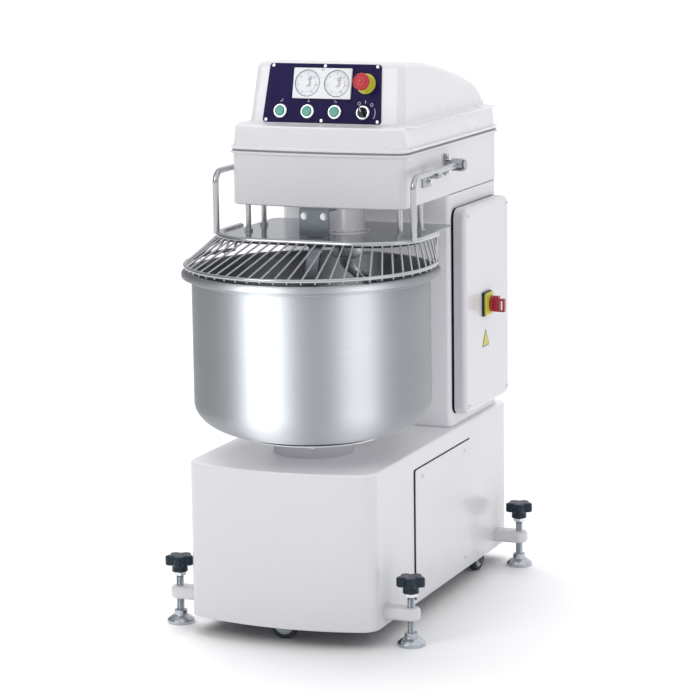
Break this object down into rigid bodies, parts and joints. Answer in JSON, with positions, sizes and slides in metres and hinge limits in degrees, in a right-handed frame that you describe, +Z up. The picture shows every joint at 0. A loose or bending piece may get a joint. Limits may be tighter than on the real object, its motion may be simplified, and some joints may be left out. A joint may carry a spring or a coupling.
{
  "type": "spiral dough mixer",
  "caption": "Floor-standing spiral dough mixer with a turning bowl, a spiral tool, a breaker bar, a hinged wire guard, levelling feet and castors.",
  "frame": {"origin": "on the floor, at the middle of the bounding box", "axes": "+Z up, +X to the operator's right, the operator stands at -Y"},
  "size_m": [0.718, 1.114, 1.4399],
  "materials": {
    "white_paint": "glossy powder coat",
    "cover_white": "glossy moulded plastic",
    "stainless": "polished stainless steel",
    "stainless_wire": "polished stainless wire",
    "zinc": "bright zinc plate",
    "steel": "machined steel",
    "cast": "grey cast iron",
    "chassis_paint": "dark primer",
    "motor_paint": "machine blue enamel",
    "navy_panel": "satin printed panel",
    "green_plastic": "gloss",
    "red_plastic": "gloss",
    "yellow_plastic": "gloss",
    "black_plastic": "satin",
    "dial_white": "gloss",
    "belt_rubber": "matte",
    "tyre": "matte"
  },
  "bodies": {
    "frame": {"base_shell": "white_paint", "access_panel": "white_paint", "chassis_frame": "chassis_paint", "foot_lugs": "white_paint", "column_shell": "white_paint", "rear_cover": "white_paint", "cover_screws": "zinc", "head_shell": "white_paint", "top_cover": "cover_white", "control_panel": "navy_panel", "timer_housing": "dial_white", "pilot_collars": "zinc", "switch_blocks": "black_plastic", "switchgear_cover": "white_paint", "switchgear_plate": "zinc", "isolator_base": "yellow_plastic", "cable_gland": "black_plastic", "spindle_housing": "white_paint", "shaft_bearings": "steel", "splash_plate": "stainless", "splash_plate_rods": "stainless_wire", "breaker_bar": "stainless", "guard_brackets": "stainless", "bracket_bolts": "zinc", "bowl_bearing_housing": "white_paint", "bowl_motor": "motor_paint", "spiral_motor": "motor_paint", "drive_belts": "belt_rubber", "countershaft_housing": "cast"},
    "bowl_rotor": {"bowl": "stainless", "bowl_hub": "steel", "bowl_pulley": "cast"},
    "bowl_motor_rotor": {"bowl_motor_pulley": "cast"},
    "spiral_rotor": {"spiral_tool": "stainless", "spiral_shaft": "steel", "spiral_pulley": "cast"},
    "countershaft_rotor": {"countershaft": "cast"},
    "motor_rotor": {"motor_pulley": "cast"},
    "guard": {"guard_frame": "stainless_wire", "guard_grille": "stainless_wire"},
    "estop": {"estop_button": "red_plastic"},
    "left_button": {"button_left": "green_plastic"},
    "middle_button": {"button_middle": "green_plastic"},
    "right_button": {"button_right": "green_plastic"},
    "selector": {"selector_knob": "black_plastic"},
    "left_timer": {"timer_knob_left": "dial_white"},
    "right_timer": {"timer_knob_right": "dial_white"},
    "isolator": {"isolator_handle": "red_plastic"},
    "castor": {"castor_fork": "zinc"},
    "front_wheel": {"castor_wheel": "tyre"},
    "left_wheel": {"rear_wheel_left": "tyre"},
    "right_wheel": {"rear_wheel_right": "tyre"},
    "pad_front_left": {"foot_pad_front_left": "zinc"},
    "screw_front_left": {"foot_screw_front_left": "zinc"},
    "pad_front_right": {"foot_pad_front_right": "zinc"},
    "screw_front_right": {"foot_screw_front_right": "zinc"},
    "pad_rear_left": {"foot_pad_rear_left": "zinc"},
    "screw_rear_left": {"foot_screw_rear_left": "zinc"},
    "pad_rear_right": {"foot_pad_rear_right": "zinc"},
    "screw_rear_right": {"foot_screw_rear_right": "zinc"}
  },
  "joints": [
    {"name": "bowl_spin", "type": "hinge", "parent": "frame", "child": "bowl_rotor", "pos_m": [0, -0.225, 0.5], "axis": [0, 0, 1], "continuous": true},
    {"name": "bowl_motor_spin", "type": "hinge", "parent": "frame", "child": "bowl_motor_rotor", "pos_m": [0, 0.27, 0.24], "axis": [0, 0, 1], "continuous": true},
    {"name": "spiral_spin", "type": "hinge", "parent": "frame", "child": "spiral_rotor", "pos_m": [0.04, -0.08, 1.05], "axis": [0, 0, 1], "continuous": true},
    {"name": "countershaft_spin", "type": "hinge", "parent": "frame", "child": "countershaft_rotor", "pos_m": [0, 0.165, 1.15], "axis": [0, 0, 1], "continuous": true},
    {"name": "motor_spin", "type": "hinge", "parent": "frame", "child": "motor_rotor", "pos_m": [0, 0.385, 1.175], "axis": [0, 0, 1], "continuous": true},
    {"name": "guard_lift", "type": "hinge", "parent": "frame", "child": "guard", "pos_m": [0, 0.118, 1.163], "axis": [-1, 0, 0], "range_deg": [0, 70]},
    {"name": "estop_press", "type": "slide", "parent": "frame", "child": "estop", "axis": [0, 0.9703, -0.2419], "range_m": [0, 0.006], "stiffness_N_per_m": 900},
    {"name": "left_press", "type": "slide", "parent": "frame", "child": "left_button", "axis": [0, 0.9703, -0.2419], "range_m": [0, 0.004], "stiffness_N_per_m": 600},
    {"name": "middle_press", "type": "slide", "parent": "frame", "child": "middle_button", "axis": [0, 0.9703, -0.2419], "range_m": [0, 0.004], "stiffness_N_per_m": 600},
    {"name": "right_press", "type": "slide", "parent": "frame", "child": "right_button", "axis": [0, 0.9703, -0.2419], "range_m": [0, 0.004], "stiffness_N_per_m": 600},
    {"name": "selector_turn", "type": "hinge", "parent": "frame", "child": "selector", "pos_m": [0.1045, -0.11217, 1.31543], "axis": [0, 0.9703, -0.2419], "range_deg": [0, 70]},
    {"name": "left_timer_turn", "type": "hinge", "parent": "frame", "child": "left_timer", "pos_m": [-0.0538, -0.0945, 1.38626], "axis": [0, 0.9703, -0.2419], "range_deg": [-180, 120]},
    {"name": "right_timer_turn", "type": "hinge", "parent": "frame", "child": "right_timer", "pos_m": [0.0278, -0.0945, 1.38626], "axis": [0, 0.9703, -0.2419], "range_deg": [-180, 120]},
    {"name": "isolator_turn", "type": "hinge", "parent": "frame", "child": "isolator", "pos_m": [0.283, 0.312, 0.766], "axis": [-1, 0, 0], "range_deg": [0, 90]},
    {"name": "castor_swivel", "type": "hinge", "parent": "frame", "child": "castor", "pos_m": [0.018, -0.415, 0.095], "axis": [0, 0, 1], "continuous": true},
    {"name": "front_wheel_roll", "type": "hinge", "parent": "castor", "child": "front_wheel", "pos_m": [-0.006, -0.415, 0.0375], "axis": [0, 1, 0], "continuous": true},
    {"name": "left_wheel_roll", "type": "hinge", "parent": "frame", "child": "left_wheel", "pos_m": [-0.225, 0.385, 0.0375], "axis": [1, 0, 0], "continuous": true},
    {"name": "right_wheel_roll", "type": "hinge", "parent": "frame", "child": "right_wheel", "pos_m": [0.225, 0.385, 0.0375], "axis": [1, 0, 0], "continuous": true},
    {"name": "foot_travel_front_left", "type": "slide", "parent": "frame", "child": "pad_front_left", "axis": [0, 0, -1], "range_m": [-0.0101, 0.0201]},
    {"name": "foot_screw_turn_front_left", "type": "hinge", "parent": "pad_front_left", "child": "screw_front_left", "pos_m": [-0.322, -0.371, 0.1], "axis": [0, 0, -1], "range_deg": [-1440, 2880]},
    {"name": "foot_travel_front_right", "type": "slide", "parent": "frame", "child": "pad_front_right", "axis": [0, 0, -1], "range_m": [-0.0101, 0.0201]},
    {"name": "foot_screw_turn_front_right", "type": "hinge", "parent": "pad_front_right", "child": "screw_front_right", "pos_m": [0.322, -0.371, 0.1], "axis": [0, 0, -1], "range_deg": [-1440, 2880]},
    {"name": "foot_travel_rear_left", "type": "slide", "parent": "frame", "child": "pad_rear_left", "axis": [0, 0, -1], "range_m": [-0.0101, 0.0201]},
    {"name": "foot_screw_turn_rear_left", "type": "hinge", "parent": "pad_rear_left", "child": "screw_rear_left", "pos_m": [-0.322, 0.472, 0.1], "axis": [0, 0, -1], "range_deg": [-1440, 2880]},
    {"name": "foot_travel_rear_right", "type": "slide", "parent": "frame", "child": "pad_rear_right", "axis": [0, 0, -1], "range_m": [-0.0101, 0.0201]},
    {"name": "foot_screw_turn_rear_right", "type": "hinge", "parent": "pad_rear_right", "child": "screw_rear_right", "pos_m": [0.322, 0.472, 0.1], "axis": [0, 0, -1], "range_deg": [-1440, 2880]}
  ],
  "couplings": [
    {"joint": "bowl_motor_spin", "follows": "bowl_spin", "ratio": 4},
    {"joint": "countershaft_spin", "follows": "spiral_spin", "ratio": 2.5},
    {"joint": "motor_spin", "follows": "spiral_spin", "ratio": 6.5625},
    {"joint": "foot_travel_front_left", "follows": "foot_screw_turn_front_left", "m_per_rad": 0.00039789},
    {"joint": "foot_travel_front_right", "follows": "foot_screw_turn_front_right", "m_per_rad": 0.00039789},
    {"joint": "foot_travel_rear_left", "follows": "foot_screw_turn_rear_left", "m_per_rad": 0.00039789},
    {"joint": "foot_travel_rear_right", "follows": "foot_screw_turn_rear_right", "m_per_rad": 0.00039789}
  ]
}
